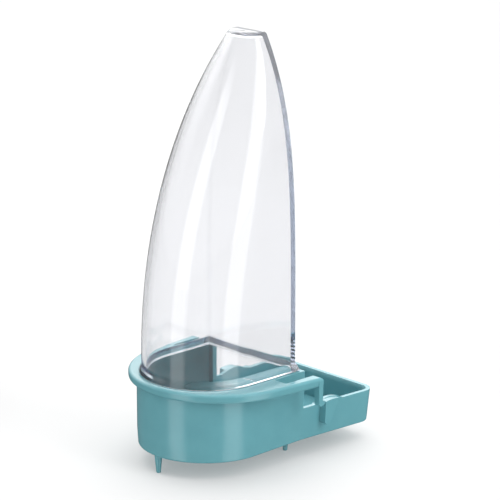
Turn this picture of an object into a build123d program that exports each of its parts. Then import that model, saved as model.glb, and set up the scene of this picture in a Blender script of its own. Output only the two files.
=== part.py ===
from build123d import *
from math import atan, degrees
import os

# Gravity drinker that hangs on a cage wall: a clear domed tank that plugs into a moulded base.
# Millimetres. The shape is drawn about the tank's flat back (y = 0) and the base's flat underside (z = 0),
# -y towards the rounded front and +y towards the trough, then moved so that z = 0 is under the feet.

# --- driving dimensions -------------------------------------------------------------------------------
total_height = 140.0        # underside of the base to the top of the tank
foot_length = 6.2           # pegs below the underside

# cup
rim_height = 25.3           # top of the rim, where the tank sits
front_centre = -21.3        # centre of the round front, in y
cup_front_radius = 23.65
cup_foot_taper = 0.3        # how far the wall leans in below the crease
crease_height = 5.8
cup_half_width_low = 22.65  # at the back of the cup, at the underside
cup_half_width_high = 23.95
cup_back = 2.4              # back face of the jambs
cup_inner_radius = 22.0
cup_inner_back = 0.5
floor_thickness = 2.0
underside_fillet = 0.6
passage_half_width = 19.4   # opening between the cup's two jambs

# rim and hook arms
rim_thickness = 3.3
rim_radius = 31.7
rim_centre = -14.4
arm_end = 1.9               # in y
arm_outer = 33.4            # half width over the arms at their ends
slot_inner_gap = 5.4        # width of the slot that a cage wire enters
slot_closed_end = -11.8
rim_edge_radius = 1.15

# posts at the arm ends
post_bottom = 15.2
post_thickness = 2.3
post_length = 2.0
toe_reach = 1.0
toe_height = 1.9

# trough
trough_end = 36.65
trough_height = 11.67
trough_end_draft = 1.0      # how far the end wall leans in from rim to underside
trough_wall = 1.5
trough_end_wall = 2.4
trough_corner_radius = 5.0
trough_flare = 0.054        # how much wider each side gets per millimetre towards the end wall
trough_lip = 0.9

# wedge clips on the trough's sides
clip_outer = 26.25          # half width over the clips
clip_top = 12.9
clip_bottom = 4.5
clip_front = 10.4
clip_back_high = 16.9
clip_back_low = 12.9
crest_half_chord = 6.6
crest_rise = 1.7
crest_centre = 14.1

# feet
foot_root_radius = 1.4
foot_tip_radius = 0.75
foot_tip_round = 0.3
front_foot_y = -43.1
rear_foot_y = 3.1
rear_foot_x = 13.7

# tank
tank_half_width = 21.6
tank_depth = 43.4
top_narrowing = 0.68        # share of the half width lost at the top
top_shortening = 0.823      # share of the depth lost at the top
width_power = 4.5
depth_power = 2.13
tank_wall = 1.5
flange_height = 2.8
flange_side_overhang = 1.3
flange_front_overhang = 0.7
flange_back_overhang = 1.1
flange_lip = 0.9            # straight edge below the flare
seat_gap = 0.15
skirt_half_width = 21.5
skirt_bottom = 7.6
skirt_wall = 1.4
tank_top_radius = 0.6
stations = 11

slot_outer = cup_half_width_high + slot_inner_gap
underside_z = foot_length
body_front = rim_centre - rim_radius
centre_shift = Location((0, -(body_front + trough_end) / 2, underside_z))


# --- outlines -----------------------------------------------------------------------------------------
def u_outline(half_width, depth, back, centre, z, back_half_width=None):
    """Closed U: flat back, two sides and a round front."""
    rear = half_width if back_half_width is None else back_half_width
    left_side = Line((-rear, back, z), (-half_width, centre, z))
    front = ThreePointArc((-half_width, centre, z), (0, -depth, z), (half_width, centre, z))
    right_side = Line((half_width, centre, z), (rear, back, z))
    back_edge = Line((rear, back, z), (-rear, back, z))
    return Face(Wire([left_side, front, right_side, back_edge]))


def u_prism(half_width, depth, back, centre, low, high):
    section = u_outline(half_width, depth, back, centre, low)
    return extrude(section, amount=high - low, dir=(0, 0, 1))


def cup_half_width(z):
    return cup_half_width_low + (cup_half_width_high - cup_half_width_low) * z / rim_height


def trough_half_width(y, z):
    """The trough's sides continue the cup's and spread a little towards the end wall."""
    return cup_half_width(z) + trough_flare * (y - cup_back)


def trough_section(z, inset, end_inset, corner):
    """Outline of the trough at height z, running from inside the cup to the end wall."""
    end = trough_end - trough_end_draft * (1 - z / trough_height) - end_inset
    start = cup_inner_back + 0.9
    near = trough_half_width(start, z) - inset
    far = trough_half_width(end, z) - inset
    path = FilletPolyline((-near, start, z), (-far, end, z), (far, end, z), (near, start, z), radius=corner)
    closing = Line((near, start, z), (-near, start, z))
    return Face(Wire(path.edges() + [closing]))


# --- base ---------------------------------------------------------------------------------------------
def cup_shell():
    """Outer body of the cup, whose wall has a crease near the underside."""
    foot_radius = cup_front_radius - cup_foot_taper
    sections = []
    for z, radius in ((0, foot_radius), (crease_height, cup_front_radius), (rim_height, cup_front_radius)):
        depth = radius - front_centre
        sections.append(u_outline(radius, depth, cup_back, front_centre, z, cup_half_width(z)))
    return loft(sections, ruled=True)


def trough_shell():
    corner = trough_corner_radius
    return loft([trough_section(0, 0, 0, corner), trough_section(trough_height, 0, 0, corner)], ruled=True)


def trough_hollow():
    """Space inside the trough: drafted walls, and a lip that leans back along the top of the end wall."""
    corner = trough_corner_radius - trough_wall
    floor = trough_section(floor_thickness, trough_wall, trough_end_wall, corner)
    lip_start = trough_section(trough_height - 1.5, trough_wall, trough_end_wall, corner)
    lip_end = trough_section(trough_height, trough_wall, trough_end_wall - trough_lip, corner)
    mouth = trough_section(trough_height + 0.5, trough_wall, trough_end_wall - trough_lip, corner)
    lower = loft([floor, lip_start], ruled=True)
    lip = loft([lip_start, lip_end], ruled=True)
    upper = loft([lip_end, mouth], ruled=True)
    return lower + lip + upper


def rim_plate():
    """Flat rim round the cup, whose sides run back as two arms beside open slots."""
    flare = (arm_outer - rim_radius) / (arm_end - rim_centre)
    tangent_y = rim_centre - rim_radius * flare
    tangent_x = rim_radius * (1 - flare * flare) ** 0.5
    z = rim_height - rim_thickness
    front = ThreePointArc((-tangent_x, tangent_y, z), (0, body_front, z), (tangent_x, tangent_y, z))
    right_side = Line((tangent_x, tangent_y, z), (arm_outer, arm_end, z))
    back_edge = Line((arm_outer, arm_end, z), (-arm_outer, arm_end, z))
    left_side = Line((-arm_outer, arm_end, z), (-tangent_x, tangent_y, z))
    outline = Face(Wire([front, right_side, back_edge, left_side]))
    plate = extrude(outline, amount=rim_thickness, dir=(0, 0, 1))
    level_edges = plate.edges() - plate.edges().filter_by(Axis.Z)
    return fillet(level_edges, rim_edge_radius)


def slot_cut(side):
    """Slot between an arm and the cup, open to the back."""
    length = arm_end + 1 - slot_closed_end
    width = slot_inner_gap + 6
    cut = Box(width, length, 3 * rim_thickness, align=(Align.MAX, Align.MIN, Align.CENTER))
    cut = fillet(cut.edges().filter_by(Axis.Z).sort_by(Axis.Y)[:2], 0.6)
    cut = cut.moved(Location((slot_outer, slot_closed_end, rim_height - rim_thickness / 2)))
    return cut if side > 0 else mirror(cut, Plane.YZ)


def arm_post(side):
    """Post that hangs from the arm's end, with a small toe that points back."""
    top = rim_height - rim_thickness / 2
    front = arm_end - post_length
    waist = arm_end - 0.2
    points = [
        (front, top),
        (front, post_bottom + 0.9),
        (front + 0.9, post_bottom),
        (arm_end + toe_reach - 0.9, post_bottom + 0.25),
        (arm_end + toe_reach, post_bottom + 1.0),
        (arm_end + toe_reach - 0.1, post_bottom + toe_height - 0.4),
        (waist, post_bottom + toe_height),
        (arm_end - 0.1, top),
    ]
    profile = Face(Wire(Polyline(*[(arm_outer - post_thickness, y, z) for y, z in points], close=True)))
    post = extrude(profile, amount=post_thickness, dir=(1, 0, 0))
    return post if side > 0 else mirror(post, Plane.YZ)


def wedge_clip(side):
    """Tapered clip on the trough's side, with a low crest in the wall's top edge above it."""
    root = cup_half_width(clip_bottom)
    points = [
        (clip_front, clip_top),
        (clip_front - 0.4, clip_bottom + 0.9),
        (clip_front + 0.5, clip_bottom),
        (clip_back_low - 0.8, clip_bottom + 0.1),
        (clip_back_low, clip_bottom + 0.9),
        (clip_back_high, clip_top),
    ]
    crown = (clip_front + clip_back_high) / 2
    edges = Polyline(*[(root, y, z) for y, z in points]).edges()
    arch_points = ((clip_back_high, clip_top), (crown, clip_top + 0.3), (clip_front, clip_top))
    arch = ThreePointArc(*[(root, y, z) for y, z in arch_points])
    clip = extrude(Face(Wire(edges + [arch])), amount=clip_outer - root, dir=(1, 0, 0)) + wall_crest()
    return clip if side > 0 else mirror(clip, Plane.YZ)


def wall_crest():
    """Low arch that raises the right wall's top edge beside the clip, turned to follow the wall."""
    low = trough_height - 1
    front_end = (0, -crest_half_chord, trough_height)
    back_end = (0, crest_half_chord, trough_height)
    crest_arc = ThreePointArc(back_end, (0, 0, trough_height + crest_rise), front_end)
    below = Polyline(front_end, (0, -crest_half_chord, low), (0, crest_half_chord, low), back_end)
    crest = extrude(Face(Wire([crest_arc] + below.edges())), amount=trough_wall - 0.04, dir=(1, 0, 0))
    inner = trough_half_width(crest_centre, trough_height) - trough_wall + 0.02
    return crest.rotate(Axis.Z, -degrees(atan(trough_flare))).moved(Location((inner, crest_centre, 0)))


def foot(x, y):
    from_tip = (Align.CENTER, Align.CENTER, Align.MIN)
    peg = Cone(foot_tip_radius, foot_root_radius, foot_length + 0.5, align=from_tip)
    peg = fillet(peg.edges().sort_by(Axis.Z)[0], foot_tip_round)
    return peg.moved(Location((x, y, -foot_length)))


def make_base():
    body = cup_shell() + trough_shell()
    underside = [e for e in body.edges() if abs(e.center().Z) < 0.01]
    body = fillet(underside, underside_fillet)
    rim = rim_plate()
    body = body + (rim - slot_cut(1) - slot_cut(-1) - back_relief())
    inner_depth = cup_inner_radius - front_centre
    inside = u_prism(
        cup_inner_radius, inner_depth, cup_inner_back, front_centre, floor_thickness, rim_height + 1
    )
    passage = Box(
        2 * passage_half_width, 4, rim_height, align=(Align.CENTER, Align.CENTER, Align.MIN)
    ).moved(Location((0, cup_inner_back + 0.5, floor_thickness)))
    body = body - inside - passage - (trough_hollow() - jamb_keep())
    for side in (1, -1):
        body = body + arm_post(side) + wedge_clip(side)
    for x, y in ((0, front_foot_y), (rear_foot_x, rear_foot_y), (-rear_foot_x, rear_foot_y)):
        body = body + foot(x, y)
    return body


def back_relief():
    """Everything of the rim plate behind the cup, between the two slots."""
    block = Box(2 * slot_outer - 1, 20, 3 * rim_thickness, align=(Align.CENTER, Align.MIN, Align.CENTER))
    return block.moved(Location((0, cup_back, rim_height)))


def jamb_keep():
    """The two jambs of the cup's back wall, which the trough's hollow leaves standing."""
    width = cup_half_width_high - passage_half_width
    jambs = []
    for side in (1, -1):
        block = Box(width, cup_back - cup_inner_back, rim_height, align=(Align.CENTER, Align.MIN, Align.MIN))
        jambs.append(block.moved(Location((side * (passage_half_width + width / 2), cup_inner_back, 0))))
    return jambs[0] + jambs[1]


# --- tank ---------------------------------------------------------------------------------------------
def tank_size(z):
    """Half width and depth of the tank at height z: both shrink towards the top by a power law."""
    low = rim_height + seat_gap + flange_height
    share = max(0.0, (z - low) / (total_height - low))
    half = tank_half_width * (1 - top_narrowing * share ** width_power)
    depth = tank_depth * (1 - top_shortening * share ** depth_power)
    return half, depth


def tank_section(z, inset):
    half, depth = tank_size(z)
    centre = -max(depth - half, inset + 0.5)
    return u_outline(half - inset, depth - inset, -inset, centre, z)


def station_heights(low, high):
    """Heights that crowd towards the top, where the tank curves in fastest."""
    return [low + (high - low) * (1 - (1 - i / (stations - 1)) ** 1.35) for i in range(stations)]


def make_tank():
    seat = rim_height + seat_gap
    body_low = seat + flange_height
    dome = loft([tank_section(z, 0) for z in station_heights(body_low, total_height)])
    top_edges = dome.faces().sort_by(Axis.Z)[-1].edges()
    dome = fillet(top_edges, tank_top_radius)
    lip_top = seat + flange_lip
    flange_half = tank_half_width + flange_side_overhang
    flange_depth = tank_depth + flange_front_overhang
    front_arc_centre = -(tank_depth - tank_half_width)
    lip_low = u_outline(flange_half, flange_depth, flange_back_overhang, front_arc_centre, seat)
    lip_high = u_outline(flange_half, flange_depth, flange_back_overhang, front_arc_centre, lip_top)
    lip = loft([lip_low, lip_high], ruled=True)
    flare = loft([lip_high, tank_section(body_low, 0)], ruled=True)
    skirt_depth = skirt_half_width - front_arc_centre
    skirt = u_prism(skirt_half_width, skirt_depth, 0, front_arc_centre, skirt_bottom, seat)
    cavity_top = total_height - 1.5
    upper_cavity = loft([tank_section(z, tank_wall) for z in station_heights(body_low, cavity_top)])
    inner_half = skirt_half_width - skirt_wall
    inner_depth = skirt_depth - skirt_wall
    below = skirt_bottom - 1
    lower_cavity = u_prism(inner_half, inner_depth, -skirt_wall, front_arc_centre, below, body_low)
    return dome + flare + lip + skirt - upper_cavity - lower_cavity


os.makedirs("parts", exist_ok=True)
for name, solid in (("tank", make_tank()), ("base", make_base())):
    export_step(solid.moved(centre_shift), f"parts/{name}.step")
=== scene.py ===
# %% [markdown]
# # A gravity drinker that hangs on a cage wall
#
# The object is two plastic mouldings. A clear dome holds the water or seed and plugs, mouth down, into a
# teal base with a cup, an open trough, two hook arms and three short feet. This notebook builds how they
# look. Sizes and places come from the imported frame, in metres, so nothing has to be fitted by eye.

# %% Load the frame
import ast
import math

import bmesh
import bpy
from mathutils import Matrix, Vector


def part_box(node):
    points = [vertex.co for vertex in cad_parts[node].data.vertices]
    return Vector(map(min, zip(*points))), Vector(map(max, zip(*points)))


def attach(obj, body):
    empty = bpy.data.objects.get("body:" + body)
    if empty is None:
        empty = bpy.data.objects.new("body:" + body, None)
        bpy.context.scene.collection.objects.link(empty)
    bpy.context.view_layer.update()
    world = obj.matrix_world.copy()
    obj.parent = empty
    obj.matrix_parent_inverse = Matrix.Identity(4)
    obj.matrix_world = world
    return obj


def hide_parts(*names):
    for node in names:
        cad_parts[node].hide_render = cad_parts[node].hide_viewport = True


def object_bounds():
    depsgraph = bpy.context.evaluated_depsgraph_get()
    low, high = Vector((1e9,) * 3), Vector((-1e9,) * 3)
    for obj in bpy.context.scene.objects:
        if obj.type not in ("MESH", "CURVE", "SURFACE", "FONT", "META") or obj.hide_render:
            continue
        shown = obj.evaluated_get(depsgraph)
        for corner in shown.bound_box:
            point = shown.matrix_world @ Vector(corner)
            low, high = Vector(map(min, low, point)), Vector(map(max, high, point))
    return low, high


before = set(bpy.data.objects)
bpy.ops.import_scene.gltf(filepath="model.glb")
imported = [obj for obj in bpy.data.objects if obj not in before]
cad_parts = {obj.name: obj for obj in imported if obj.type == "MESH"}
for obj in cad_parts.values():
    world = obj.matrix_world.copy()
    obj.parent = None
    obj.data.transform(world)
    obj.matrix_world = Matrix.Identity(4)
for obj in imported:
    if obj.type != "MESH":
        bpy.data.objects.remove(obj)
cad_box = [list(corner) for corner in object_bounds()]
MM = 0.001

# %% [markdown]
# ## Where things are
#
# The base's own box gives the feet, and the tank's box gives the dome. Heights are counted
# from the underside of the base, which sits one foot length above the floor. The tank's flange stands out
# a little further than its walls, by a different amount at the back, the sides and the front.

# %% Measure the two mouldings
base_low, base_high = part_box("base")
tank_low, tank_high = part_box("tank")
FOOT = 6.2 * MM
underside = base_low.z + FOOT
flange_back = tank_high.y
OVERHANG_BACK, OVERHANG_SIDE, OVERHANG_FRONT = 1.1 * MM, 1.3 * MM, 0.7 * MM
tank_back = flange_back - OVERHANG_BACK
print("underside", round(underside, 4), "tank back at y =", round(tank_back, 4))

# %% [markdown]
# ## Two small helpers
#
# Every node tree below is built with the same function: it adds one node, sets its options, and then
# sets or links its inputs. Long sums are easier to read as a line of arithmetic than as a page of Math
# nodes, so the second helper reads a formula and lays down one Math node for each step of it.

# %% Add a node, write a formula
def add_node(tree, kind, inputs=None, **settings):
    """Adds one node; a value that is a socket is linked, any other value is set."""
    node = tree.nodes.new(kind)
    for key, value in settings.items():
        setattr(node, key, value)
    for key, value in (inputs or {}).items():
        if isinstance(value, bpy.types.NodeSocket):
            tree.links.new(value, node.inputs[key])
        else:
            node.inputs[key].default_value = value
    return node


OPERATIONS = {ast.Add: "ADD", ast.Sub: "SUBTRACT", ast.Mult: "MULTIPLY", ast.Div: "DIVIDE", ast.Pow: "POWER"}
FUNCTIONS = {"sin": "SINE", "cos": "COSINE", "max": "MAXIMUM", "min": "MINIMUM", "floor": "FLOOR"}


def formula(tree, text, **names):
    """Turns a line of arithmetic into Math nodes and returns the last one's output, or a plain number."""
    def step(part):
        if isinstance(part, ast.Constant):
            return float(part.value)
        if isinstance(part, ast.Name):
            return names[part.id]
        if isinstance(part, ast.BinOp):
            kind, values = OPERATIONS[type(part.op)], [step(part.left), step(part.right)]
        else:
            kind, values = FUNCTIONS[part.func.id], [step(argument) for argument in part.args]
        return add_node(tree, "ShaderNodeMath", dict(enumerate(values)), operation=kind).outputs[0]

    return step(ast.parse(text).body[0].value)


def linear(hex_colour):
    """sRGB hex to linear red, green, blue and alpha, as shader sockets want them."""
    channels = [int(hex_colour[i:i + 2], 16) / 255 for i in (1, 3, 5)]
    return [c / 12.92 if c <= 0.04045 else ((c + 0.055) / 1.055) ** 2.4 for c in channels] + [1.0]


print("teal in linear light:", [round(c, 3) for c in linear("#5fa3ab")])

# %% [markdown]
# ## The camera
#
# A long lens from about three quarters of a metre away keeps the upright walls nearly parallel, as a
# catalogue view does. The floor and the surround below are lit along the camera's direction, so its sine
# and cosine are kept: "right" runs across the view and "away" runs from the camera past the object.

# %% Camera at a three-quarter view from slightly above
centre = sum((Vector(corner) for corner in cad_box), Vector()) / 2
azimuth, elevation = math.radians(46.69), math.radians(15.26)
view_sin, view_cos = math.sin(azimuth), math.cos(azimuth)
distance = 776.1 * MM
aim = centre + Vector((4.56, -0.28, -1.48)) * MM
towards = Vector((view_sin * math.cos(elevation), -view_cos * math.cos(elevation), math.sin(elevation)))
camera_data = bpy.data.cameras.new("camera")
camera_data.sensor_width = 36.0
camera_data.lens = 164.85
camera_data.clip_start = 0.01
camera = bpy.data.objects.new("camera", camera_data)
camera.location = aim + towards * distance
camera.rotation_euler = towards.to_track_quat("Z", "Y").to_euler()
bpy.context.scene.collection.objects.link(camera)
bpy.context.scene.camera = camera
print("camera at", [round(v, 3) for v in camera.location])

# %% [markdown]
# ## The floor
#
# The object stands on a matt sheet of paper. The paper also glows faintly, in a strip along the camera's
# direction that widens behind the object, so that the ground under and behind it reads as near white. It is
# hidden from glossy rays, so below the horizon the mouldings reflect the dark surround and its banks instead.
# This suits the camera's side: from other sides the ground looks uneven.

# %% White paper with a pool of light
FLOOR_SIZE = 6.0
POOL_NEAR, POOL_SPREAD, POOL_EDGE = 0.11, 0.14, 6.0
POOL_GLOW = 0.27
half_floor = FLOOR_SIZE / 2
corners = [(x * half_floor, y * half_floor, 0) for x, y in ((-1, -1), (1, -1), (1, 1), (-1, 1))]
floor_mesh = bpy.data.meshes.new("floor")
floor_mesh.from_pydata(corners, [], [(0, 1, 2, 3)])
floor = bpy.data.objects.new("floor", floor_mesh)
bpy.context.scene.collection.objects.link(floor)

paper = bpy.data.materials.new("white_paper_sweep")
paper.use_nodes = True
paper_shader = paper.node_tree.nodes["Principled BSDF"]
paper_shader.inputs["Base Color"].default_value = linear("#b4b4b4")
paper_shader.inputs["Roughness"].default_value = 0.9
paper_shader.inputs["Specular IOR Level"].default_value = 0.1
paper_shader.inputs["Emission Color"].default_value = linear("#ffffff")
paper_place = add_node(paper.node_tree, "ShaderNodeTexCoord").outputs["Object"]
paper_axes = add_node(paper.node_tree, "ShaderNodeSeparateXYZ", {0: paper_place}).outputs
view = {"x": paper_axes["X"], "y": paper_axes["Y"], "s": view_sin, "c": view_cos}
right = formula(paper.node_tree, "c * x + s * y", **view)
away = formula(paper.node_tree, "max(0, c * y - s * x)", **view)
pool = formula(
    paper.node_tree, "glow / (1 + (right / (near + spread * away)) ** edge)",
    glow=POOL_GLOW, right=right, away=away, near=POOL_NEAR, spread=POOL_SPREAD, edge=POOL_EDGE,
)
paper.node_tree.links.new(pool, paper_shader.inputs["Emission Strength"])
floor_mesh.materials.append(paper)
floor.visible_glossy = False
print("floor is", FLOOR_SIZE, "m wide")

# %% [markdown]
# ## The surround
#
# Glossy plastic shows what stands round it. Here that is drawn in the world's background: a surround that
# is dark below the horizon and pale above it, two upright white banks, one at the round front and one at
# the right, which draw the long bright bands, a brighter patch beyond the object, which flat tops mirror
# towards the camera, and a bright zenith that lights the faces that look up. Strengths are linear, and 1 is
# plain white.

# %% World light
BANKS = ((-3, 17), (94, 19))  # the middle of each bank, in degrees round from the front, and half its width
BANK_GLOW, BELOW, ABOVE, ZENITH = 2.0, 0.12, 0.6, 1.6
REAR_GLOW, REAR_PATCH, REAR_MIDDLE, REAR_REACH = 0.5, 3.0, 0.5, 0.32
world = bpy.data.worlds.new("studio")
bpy.context.scene.world = world
world.use_nodes = True
tent = world.node_tree
way = add_node(tent, "ShaderNodeTexCoord").outputs["Generated"]
along = add_node(tent, "ShaderNodeSeparateXYZ", {0: way}).outputs
facing = {"x": along["X"], "y": along["Y"], "z": along["Z"]}
facing["h"] = formula(tent, "(x * x + y * y) ** 0.5 + 0.001", x=along["X"], y=along["Y"])
up = formula(tent, "max(0, min(1, z / 0.12 + 0.5))", z=along["Z"])
banks = 0.0
for turn, half_turn in BANKS:
    banks = formula(
        tent, "b + max(0, min(1, ((x * s - y * c) / h - edge) / 0.03)) * max(0, min(1, (0.8 - z) / 0.2))",
        b=banks, s=math.sin(math.radians(turn)), c=math.cos(math.radians(turn)),
        edge=math.cos(math.radians(half_turn)), **facing,
    )
rear_side = formula(tent, "max(0, min(1, (c * y - s * x) / h))", s=view_sin, c=view_cos, **facing)
patch = formula(tent, "max(0, 1 - max(z - m, m - z) / r)", z=along["Z"], m=REAR_MIDDLE, r=REAR_REACH)
rear = formula(
    tent, "side * u * (p * patch + g)", side=rear_side, u=up, patch=patch, p=REAR_PATCH, g=REAR_GLOW,
)
glow = formula(
    tent, "max(b * bank, dark + (sky - dark) * u + rear + top * max(0, min(1, (z - 0.8) / 0.1)))",
    b=banks, u=up, rear=rear, z=along["Z"], bank=BANK_GLOW, dark=BELOW, sky=ABOVE, top=ZENITH,
)
tent.nodes["Background"].inputs["Color"].default_value = linear("#ffffff")
tent.links.new(glow, tent.nodes["Background"].inputs["Strength"])
bpy.context.scene.view_settings.view_transform = "Standard"
print("banks at", [turn for turn, half_turn in BANKS], "degrees from the front")

# %% [markdown]
# ## The lamps
#
# Two softboxes, at the right and overhead, only shape the matt part of the light. They are hidden from
# glossy rays, because the banks above already draw the highlights. Light that gets into a clear wall is
# led along it by many total reflections before it comes out at an edge, so a path needs far more bounces
# than usual here: with few, the dome's edges turn black.


# %% Softboxes and light bounces
def add_light(name, place, look_at, size, power):
    """A rectangular softbox of a given width and height that faces a point."""
    data = bpy.data.lights.new(name, "AREA")
    data.shape = "RECTANGLE"
    data.size, data.size_y = size
    data.energy = power
    light = bpy.data.objects.new(name, data)
    light.location = place
    light.visible_glossy = False
    light.rotation_euler = (Vector(place) - Vector(look_at)).to_track_quat("Z", "Y").to_euler()
    bpy.context.scene.collection.objects.link(light)


LIGHT_BOUNCES = 72
add_light("right_softbox", (1.0, 0.25, 0.75), centre, (0.5, 0.9), 5.0)
add_light("top_softbox", (0.1, 0.3, 1.3), centre, (0.8, 0.8), 1.0)
bounces = bpy.context.scene.cycles
bounces.max_bounces = bounces.glossy_bounces = bounces.transmission_bounces = LIGHT_BOUNCES

# %% [markdown]
# ## The plastics
#
# The dome is general-purpose crystal polystyrene: water clear, brittle, with the high refractive index
# (1.59) that gives it bright edges. Even clear plastic takes a little light on a long way through, so the
# dome's volume absorbs some, most of all red: walls seen face on stay clear, and edges turn bluish. The
# dome is made a little less clear towards its top, and a strip along the back of the flange is made less
# clear and paler, as painted light for the brighter light that falls there.
# The base is ABS, coloured through and moulded in a lightly polished tool, so it is smooth but not a
# mirror. Both keep the faint ripple of a real moulding.


# %% Materials
def new_material(name):
    material = bpy.data.materials.new(name)
    material.use_nodes = True
    return material, material.node_tree, material.node_tree.nodes["Principled BSDF"]


def place_in_mm(tree):
    """Object coordinates in millimetres, so that a pattern's scale is one over a real size."""
    coordinates = add_node(tree, "ShaderNodeTexCoord").outputs["Object"]
    inputs = {0: coordinates, "Scale": 1 / MM}
    return add_node(tree, "ShaderNodeVectorMath", inputs, operation="SCALE").outputs[0]


def noise(tree, place, size, detail, **inputs):
    """Noise whose features are about size millimetres across."""
    inputs = {"Vector": place, "Scale": 1 / size, "Detail": detail, **inputs}
    return add_node(tree, "ShaderNodeTexNoise", inputs).outputs["Fac"]


def link_roughness(tree, shader, pattern, low, high):
    """Lets a pattern move the roughness between two values."""
    gloss = add_node(tree, "ShaderNodeMapRange", {"Value": pattern, "To Min": low, "To Max": high})
    tree.links.new(gloss.outputs["Result"], shader.inputs["Roughness"])


def moulded_abs():
    """ABS, injection moulded: semi-gloss, IOR 1.53, a slow ripple from shrinkage and a fine tool texture."""
    material, tree, shader = new_material("moulded_abs_teal")
    shader.inputs["IOR"].default_value = 1.53
    shader.inputs["Subsurface Weight"].default_value = 0.06
    shader.inputs["Subsurface Radius"].default_value = (0.6, 1.0, 1.0)
    shader.inputs["Subsurface Scale"].default_value = 0.8 * MM
    place = place_in_mm(tree)
    flow = noise(tree, place, 14, 3.0, Roughness=0.55)
    tint = add_node(tree, "ShaderNodeValToRGB", {"Fac": flow})
    tint.color_ramp.elements[0].position, tint.color_ramp.elements[0].color = 0.3, linear("#5e98a1")
    tint.color_ramp.elements[1].position, tint.color_ramp.elements[1].color = 0.7, linear("#649fa8")
    tree.links.new(tint.outputs["Color"], shader.inputs["Base Color"])
    link_roughness(tree, shader, noise(tree, place, 5, 4.0), 0.15, 0.23)
    ripple = noise(tree, place, 7, 2.0)
    grain = noise(tree, place, 0.5, 2.0)
    slow = add_node(tree, "ShaderNodeBump", {"Height": ripple, "Strength": 0.25, "Distance": 0.05 * MM})
    fine = add_node(tree, "ShaderNodeBump", {
        "Height": grain, "Strength": 0.12, "Distance": 0.02 * MM, "Normal": slow.outputs["Normal"]
    })
    tree.links.new(fine.outputs["Normal"], shader.inputs["Normal"])
    return material


# the second number makes the dome a little less clear towards its top; the third makes a strip along the back
# of the flange less clear and paler, painted light for the brighter light that falls there
CLEARNESS, TOP_CLARITY_LOSS, FLANGE_PAINTED_LIGHT = 0.988, 0.05, 0.14
CLARITY_LOSS_START, CLARITY_LOSS_RUN = 85.0, 45.0  # millimetres above the floor, and over how many it builds up
# height and starting point of the painted-light strip at the back of the flange, in millimetres
PAINTED_LIGHT_HEIGHT = (underside + 27.0 * MM) / MM
PAINTED_LIGHT_START = (tank_back - 3.0 * MM) / MM
ABSORPTION = 55.0  # per metre


def crystal_polystyrene():
    """Polystyrene, injection moulded and clear: IOR 1.59, polished, with faint upright flow ripple."""
    material, tree, shader = new_material("crystal_polystyrene_clear")
    shader.inputs["IOR"].default_value = 1.59
    shader.inputs["Base Color"].default_value = linear("#fcfcfd")
    place = place_in_mm(tree)
    link_roughness(tree, shader, noise(tree, place, 9, 4.0), 0.015, 0.05)
    axes = add_node(tree, "ShaderNodeSeparateXYZ", {0: place}).outputs
    # painted light: a paler, less clear strip along the back of the flange
    painted_light_strip = formula(
        tree, "max(0, min(1, (2.2 - max(z - f, f - z)) / 0.6)) * max(0, min(1, y - b))",
        y=axes["Y"], z=axes["Z"], f=PAINTED_LIGHT_HEIGHT, b=PAINTED_LIGHT_START,
    )
    # the dome is a little less clear from a given height upwards, and less clear again in the painted-light
    # strip
    clear = formula(
        tree, "c - g * max(0, min(1, (z - start) / run)) - r * s", z=axes["Z"], s=painted_light_strip,
        c=CLEARNESS, g=TOP_CLARITY_LOSS, r=FLANGE_PAINTED_LIGHT, start=CLARITY_LOSS_START, run=CLARITY_LOSS_RUN,
    )
    tree.links.new(clear, shader.inputs["Transmission Weight"])
    streaks = add_node(tree, "ShaderNodeMapping", {"Vector": place, "Scale": (1.0, 1.0, 0.15)}).outputs[0]
    ripple = noise(tree, streaks, 6, 2.0)
    bump = add_node(tree, "ShaderNodeBump", {"Height": ripple, "Strength": 0.2, "Distance": 0.04 * MM})
    tree.links.new(bump.outputs["Normal"], shader.inputs["Normal"])
    depth = add_node(tree, "ShaderNodeVolumeAbsorption", {"Color": linear("#dfe5ef"), "Density": ABSORPTION})
    tree.links.new(depth.outputs[0], tree.nodes["Material Output"].inputs["Volume"])
    return material


abs_teal = moulded_abs()
polystyrene = crystal_polystyrene()
print("materials:", abs_teal.name, polystyrene.name)

# %% [markdown]
# ## The base
#
# The base is one moulding with many small features, and the frame already holds its true shape. A knife
# edge is what gives a computer model away, so a merged copy of that shape gets a small round on every
# sharp edge, as the tool's cutter leaves, and stands in for the plain one. The rim's outer top edge gets a
# larger round than the rest, so that it catches a line of light.


# %% Merge, clean and round the base
def mesh_object(name, mesh):
    piece = bpy.data.objects.new(name, mesh)
    bpy.context.scene.collection.objects.link(piece)
    return piece


def apply_modifiers(piece):
    """Replaces a piece's mesh by its evaluated one and drops the modifiers."""
    evaluated = piece.evaluated_get(bpy.context.evaluated_depsgraph_get())
    mesh = bpy.data.meshes.new_from_object(evaluated)
    piece.modifiers.clear()
    piece.data = mesh
    return piece


def keep_flats_flat(piece):
    """Weights each corner's normal by face area, so that edge rounds shade softly and flats stay flat."""
    flats = piece.modifiers.new("flat_faces", "WEIGHTED_NORMAL")
    flats.mode = "FACE_AREA"
    flats.weight = 100
    flats.keep_sharp = True


def merged_copy(node, name):
    """A frame node's mesh with its doubled points merged and its flat faces joined."""
    work = bmesh.new()
    work.from_mesh(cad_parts[node].data)
    bmesh.ops.remove_doubles(work, verts=work.verts, dist=0.002 * MM)
    bmesh.ops.dissolve_limit(work, angle_limit=math.radians(0.8), verts=work.verts, edges=work.edges)
    mesh = bpy.data.meshes.new(name)
    work.to_mesh(mesh)
    work.free()
    return mesh_object(name, mesh)


EDGE_ROUND, RIM_ROUND = 0.35 * MM, 0.9 * MM
RIM_TOP = underside + 25.3 * MM
RIM_CENTRE, RIM_BACK = -14.4 * MM, 8 * MM
RIM_REACH = 30.5 * MM  # just inside the rim's outer edge, counted from its centre


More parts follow.
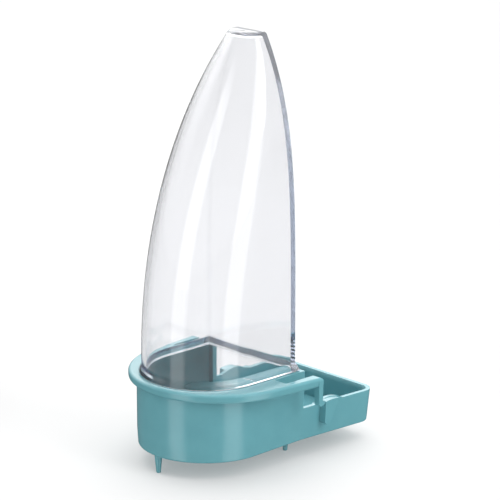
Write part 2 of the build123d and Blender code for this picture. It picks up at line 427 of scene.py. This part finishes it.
def weigh_edges(piece):
    """Marks every sharp edge for rounding; the rim's outer top edge gets the full width."""
    work = bmesh.new()
    work.from_mesh(piece.data)
    marks = work.edges.layers.float.new("bevel_weight_edge")
    for edge in work.edges:
        if len(edge.link_faces) != 2 or edge.calc_face_angle() < math.radians(32):
            continue
        middle = (edge.verts[0].co + edge.verts[1].co) / 2
        out = math.hypot(middle.x, min(0.0, middle.y - RIM_CENTRE))
        rim = abs(middle.z - RIM_TOP) < 0.1 * MM and out > RIM_REACH and middle.y < RIM_BACK
        edge[marks] = 1.0 if rim else EDGE_ROUND / RIM_ROUND
    work.to_mesh(piece.data)
    work.free()


base = merged_copy("base", "moulded_base")
weigh_edges(base)
bevel = base.modifiers.new("edge_rounds", "BEVEL")
bevel.width = RIM_ROUND
bevel.segments = 4
bevel.limit_method = "WEIGHT"
base.data.shade_smooth()
keep_flats_flat(base)
apply_modifiers(base)
base.data.materials.clear()
base.data.materials.append(abs_teal)
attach(base, "base")
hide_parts("base")
print("base faces:", len(base.data.polygons))

# %% [markdown]
# ## The tank
#
# The dome follows a rule: seen from above it is always a U with a flat back, and both its width and its
# depth shrink towards the top by a power of the height. So its wall is drawn once, as a section line of
# inset against height, and Geometry Nodes sweep that line round the U at the size the rule
# gives for each height. A change to one named input reshapes the whole dome.

# %% Draw the wall's section
TANK_TOP = tank_high.z
SEAT = underside + 25.45 * MM
BODY_LOW = SEAT + 2.8 * MM
MOUTH = tank_low.z
WALL = 1.5 * MM
SKIRT_INSET = 0.1 * MM
MOUTH_ROUND = 0.6 * MM


def arc_points(middle, radius, start, end, steps):
    """Points of an arc in the section plane, angles in degrees from +inset towards +height."""
    angles = [math.radians(start + (end - start) * i / steps) for i in range(steps + 1)]
    return [(middle[0] + radius * math.cos(a), middle[1] + radius * math.sin(a)) for a in angles]


def spaced(low, high, steps):
    """Heights that crowd towards the top, where the dome curves in fastest."""
    return [low + (high - low) * (1 - (1 - i / steps) ** 1.5) for i in range(steps + 1)]


round_top, round_lip, lip = 0.7 * MM, 0.25 * MM, 0.5 * MM
inner_top = TANK_TOP - WALL
# the rounded top edge and the outer wall, from the top down
section = arc_points((round_top, TANK_TOP - round_top), round_top, 90, 180, 5)
section += [(0.0, z) for z in reversed(spaced(BODY_LOW + 0.4 * MM, TANK_TOP - round_top, 64)[:-1])]
# the flange: a short slope out, a lip and its rounded lower edge
section += [(-0.15 * MM, BODY_LOW - 0.1 * MM), (-OVERHANG_SIDE + 0.2 * MM, SEAT + lip + 0.25 * MM)]
section += [(-OVERHANG_SIDE, SEAT + lip)]
section += arc_points((-OVERHANG_SIDE + round_lip, SEAT + round_lip), round_lip, 180, 270, 3)
# the skirt: down the outside, round the mouth and up the inside
section += [(SKIRT_INSET, SEAT), (SKIRT_INSET, SEAT - 0.3 * MM), (0.12 * MM, (SEAT + MOUTH) / 2)]
section += arc_points((SKIRT_INSET + MOUTH_ROUND, MOUTH + MOUTH_ROUND), MOUTH_ROUND, 180, 360, 8)
section += [(WALL + 0.02 * MM, (SEAT + MOUTH) / 2), (WALL, SEAT), (WALL, BODY_LOW)]
# the inner wall, up to the underside of the top
section += [(WALL, z) for z in spaced(BODY_LOW + 0.4 * MM, inner_top - round_top, 64)[:-1]]
section += arc_points((WALL + round_top, inner_top - round_top), round_top, 180, 90, 5)
section_mesh = bpy.data.meshes.new("tank_section")
section_mesh.from_pydata([(x, 0, z) for x, z in section], [(i, i + 1) for i in range(len(section) - 1)], [])
tank = mesh_object("clear_tank", section_mesh)
print("section points:", len(section))

# %% [markdown]
# ## The sweep
#
# Geometry Nodes sweep the section round a circle first. Each point remembers three numbers: its inset and
# its height on the section, and how far round the circle it is. Set Position then uses them to put the
# point on the U: along the back, forward on the right, round the front in half a turn, and back on the left.

# %% Sweep it round the U with Geometry Nodes
AROUND = 120


def store(tree, geometry, name, value):
    """Keeps a number on every point under a name, so that it can be read after the sweep."""
    inputs = {"Geometry": geometry, "Name": name, "Value": value}
    kept = add_node(tree, "GeometryNodeStoreNamedAttribute", inputs, data_type="FLOAT", domain="POINT")
    return kept.outputs[0]


def sweep_tree():
    """Node tree that sweeps a section line (x inset, z height) round a U that shrinks with height."""
    tree = bpy.data.node_groups.new("u_sweep", "GeometryNodeTree")
    tree.interface.new_socket("Section", in_out="INPUT", socket_type="NodeSocketGeometry")
    sizes = {
        "Half Width": 21.6 * MM, "Depth": 43.4 * MM, "Low": BODY_LOW, "Top": TANK_TOP, "Back": tank_back,
        "Narrowing": 0.68, "Shortening": 0.823, "Width Power": 4.5, "Depth Power": 2.13,
        "Back Share": OVERHANG_BACK / OVERHANG_SIDE, "Front Share": OVERHANG_FRONT / OVERHANG_SIDE,
    }
    for name, value in sizes.items():
        tree.interface.new_socket(name, in_out="INPUT", socket_type="NodeSocketFloat").default_value = value
    tree.interface.new_socket("Material", in_out="INPUT", socket_type="NodeSocketMaterial")
    tree.interface.new_socket("Tank", in_out="OUTPUT", socket_type="NodeSocketGeometry")
    given = add_node(tree, "NodeGroupInput").outputs
    index = add_node(tree, "GeometryNodeInputIndex").outputs[0]
    position = add_node(tree, "GeometryNodeInputPosition").outputs[0]
    parts = add_node(tree, "ShaderNodeSeparateXYZ", {0: position}).outputs
    profile = add_node(tree, "GeometryNodeMeshToCurve", {"Mesh": given["Section"]}).outputs[0]
    for name, value in (("inset", parts["X"]), ("height", parts["Z"])):
        profile = store(tree, profile, name, value)
    circle = add_node(tree, "GeometryNodeCurvePrimitiveCircle", {"Resolution": AROUND, "Radius": 1.0})
    loop = store(tree, circle.outputs[0], "around", formula(tree, "i / n", i=index, n=float(AROUND)))
    swept = add_node(tree, "GeometryNodeCurveToMesh", {"Curve": loop, "Profile Curve": profile}).outputs[0]
    read = {}
    for name in ("inset", "height", "around"):
        kept = add_node(tree, "GeometryNodeInputNamedAttribute", {"Name": name}, data_type="FLOAT")
        read[name] = kept.outputs[0]
    share = formula(
        tree, "max(0, (z - low) / (top - low))", z=read["height"], low=given["Low"], top=given["Top"],
    )
    half = formula(
        tree, "a * (1 - k * s ** p)",
        a=given["Half Width"], k=given["Narrowing"], s=share, p=given["Width Power"],
    )
    depth = formula(
        tree, "d * (1 - k * s ** p)",
        d=given["Depth"], k=given["Shortening"], s=share, p=given["Depth Power"],
    )
    middle = formula(tree, "0 - max(d - a, t + 0.0003)", d=depth, a=half, t=read["inset"])
    span = {"u": read["around"], "b": 0.2, "c": 0.1, "e": 0.6}
    back_run = formula(tree, "min(1, u / b)", **span)
    right_run = formula(tree, "max(0, min(1, (u - b) / c))", **span)
    front_run = formula(tree, "max(0, min(1, (u - b - c) / e))", **span)
    left_run = formula(tree, "max(0, min(1, (u - b - c - e) / c))", **span)
    angle = formula(tree, "f * half_circle", f=front_run, half_circle=math.pi)
    across = formula(tree, "(a - t) * (2 * r - 2 + cos(q))", a=half, t=read["inset"], r=back_run, q=angle)
    behind = formula(tree, "max(t, 0) + min(t, 0) * k", t=read["inset"], k=given["Back Share"])
    ahead = formula(tree, "max(t, 0) + min(t, 0) * k", t=read["inset"], k=given["Front Share"])
    along = formula(
        tree, "(m + t) * (g - l) - t - (d + m - f) * sin(q)",
        m=middle, t=behind, f=ahead, g=right_run, l=left_run, d=depth, q=angle,
    )
    spot = add_node(tree, "ShaderNodeCombineXYZ", {
        "X": across, "Y": formula(tree, "y + b", y=along, b=given["Back"]), "Z": read["height"]
    }).outputs[0]
    placed = add_node(tree, "GeometryNodeSetPosition", {"Geometry": swept, "Position": spot}).outputs[0]
    real = add_node(tree, "GeometryNodeRealizeInstances", {"Geometry": placed}).outputs[0]
    coated = add_node(tree, "GeometryNodeSetMaterial", {"Geometry": real, "Material": given["Material"]})
    add_node(tree, "NodeGroupOutput", {"Tank": coated.outputs[0]})
    return tree


sweep = tank.modifiers.new("u_sweep", "NODES")
sweep.node_group = sweep_tree()
for item in sweep.node_group.interface.items_tree:
    if item.in_out == "INPUT" and item.name == "Material":
        sweep[item.identifier] = polystyrene
apply_modifiers(tank)
print("tank faces:", len(tank.data.polygons))


# %% [markdown]
# ## The top, the corners and the gate mark
#
# The swept wall is open at the top, inside and out, so both openings are filled. Every edge sharper than 50
# degrees, such as the two upright corners at the back, then gets a small round. The stub on the top is the
# gate mark, which is left where the plastic was injected and the runner was snapped off.


# %% Close the dome's top, round its corners and add the gate mark
def close_top(piece):
    """Merges the swept wall's seams and fills what is left open."""
    work = bmesh.new()
    work.from_mesh(piece.data)
    bmesh.ops.remove_doubles(work, verts=work.verts, dist=0.0005 * MM)
    bmesh.ops.holes_fill(work, edges=[e for e in work.edges if e.is_boundary], sides=0)
    bmesh.ops.recalc_face_normals(work, faces=work.faces)
    work.to_mesh(piece.data)
    work.free()


GATE_FROM_BACK = 4.1 * MM
GATE_SIDES = 24
# radius and height above the top; the last ring is sunk into the wall for the union
GATE_PROFILE = [(r * MM, z * MM) for r, z in ((0.3, 0.15), (0.55, 0.1), (0.75, 0.03), (0.85, -0.3))]


def add_gate_mark(piece):
    """Joins the small domed stub that is left on the top where the runner was snapped off."""
    work = bmesh.new()
    rings = []
    for radius, height in GATE_PROFILE:
        turns = [2 * math.pi * k / GATE_SIDES for k in range(GATE_SIDES)]
        places = [(radius * math.cos(turn), radius * math.sin(turn), height) for turn in turns]
        rings.append([work.verts.new(place) for place in places])
    for upper, lower in zip(rings, rings[1:]):
        for k in range(GATE_SIDES):
            n = (k + 1) % GATE_SIDES
            work.faces.new((upper[k], lower[k], lower[n], upper[n]))
    work.faces.new(rings[0])
    work.faces.new(list(reversed(rings[-1])))
    bmesh.ops.recalc_face_normals(work, faces=work.faces)
    bmesh.ops.translate(work, verts=work.verts, vec=(0, tank_back - GATE_FROM_BACK, TANK_TOP))
    mesh = bpy.data.meshes.new("gate_mark")
    work.to_mesh(mesh)
    work.free()
    stub = mesh_object("gate_mark", mesh)
    join = piece.modifiers.new("join_gate_mark", "BOOLEAN")
    join.operation = "UNION"
    join.object = stub
    apply_modifiers(piece)
    bpy.data.objects.remove(stub)


close_top(tank)
corner = tank.modifiers.new("corner_rounds", "BEVEL")
corner.width = EDGE_ROUND
corner.segments = 3
corner.limit_method = "ANGLE"
corner.angle_limit = math.radians(50)
apply_modifiers(tank)
add_gate_mark(tank)
tank.data.shade_smooth()
keep_flats_flat(tank)
apply_modifiers(tank)
check = bmesh.new()
check.from_mesh(tank.data)
open_edges = sum(1 for e in check.edges if not e.is_manifold)
check.free()
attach(tank, "tank")
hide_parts("tank")
print("tank faces:", len(tank.data.polygons), "open edges:", open_edges)
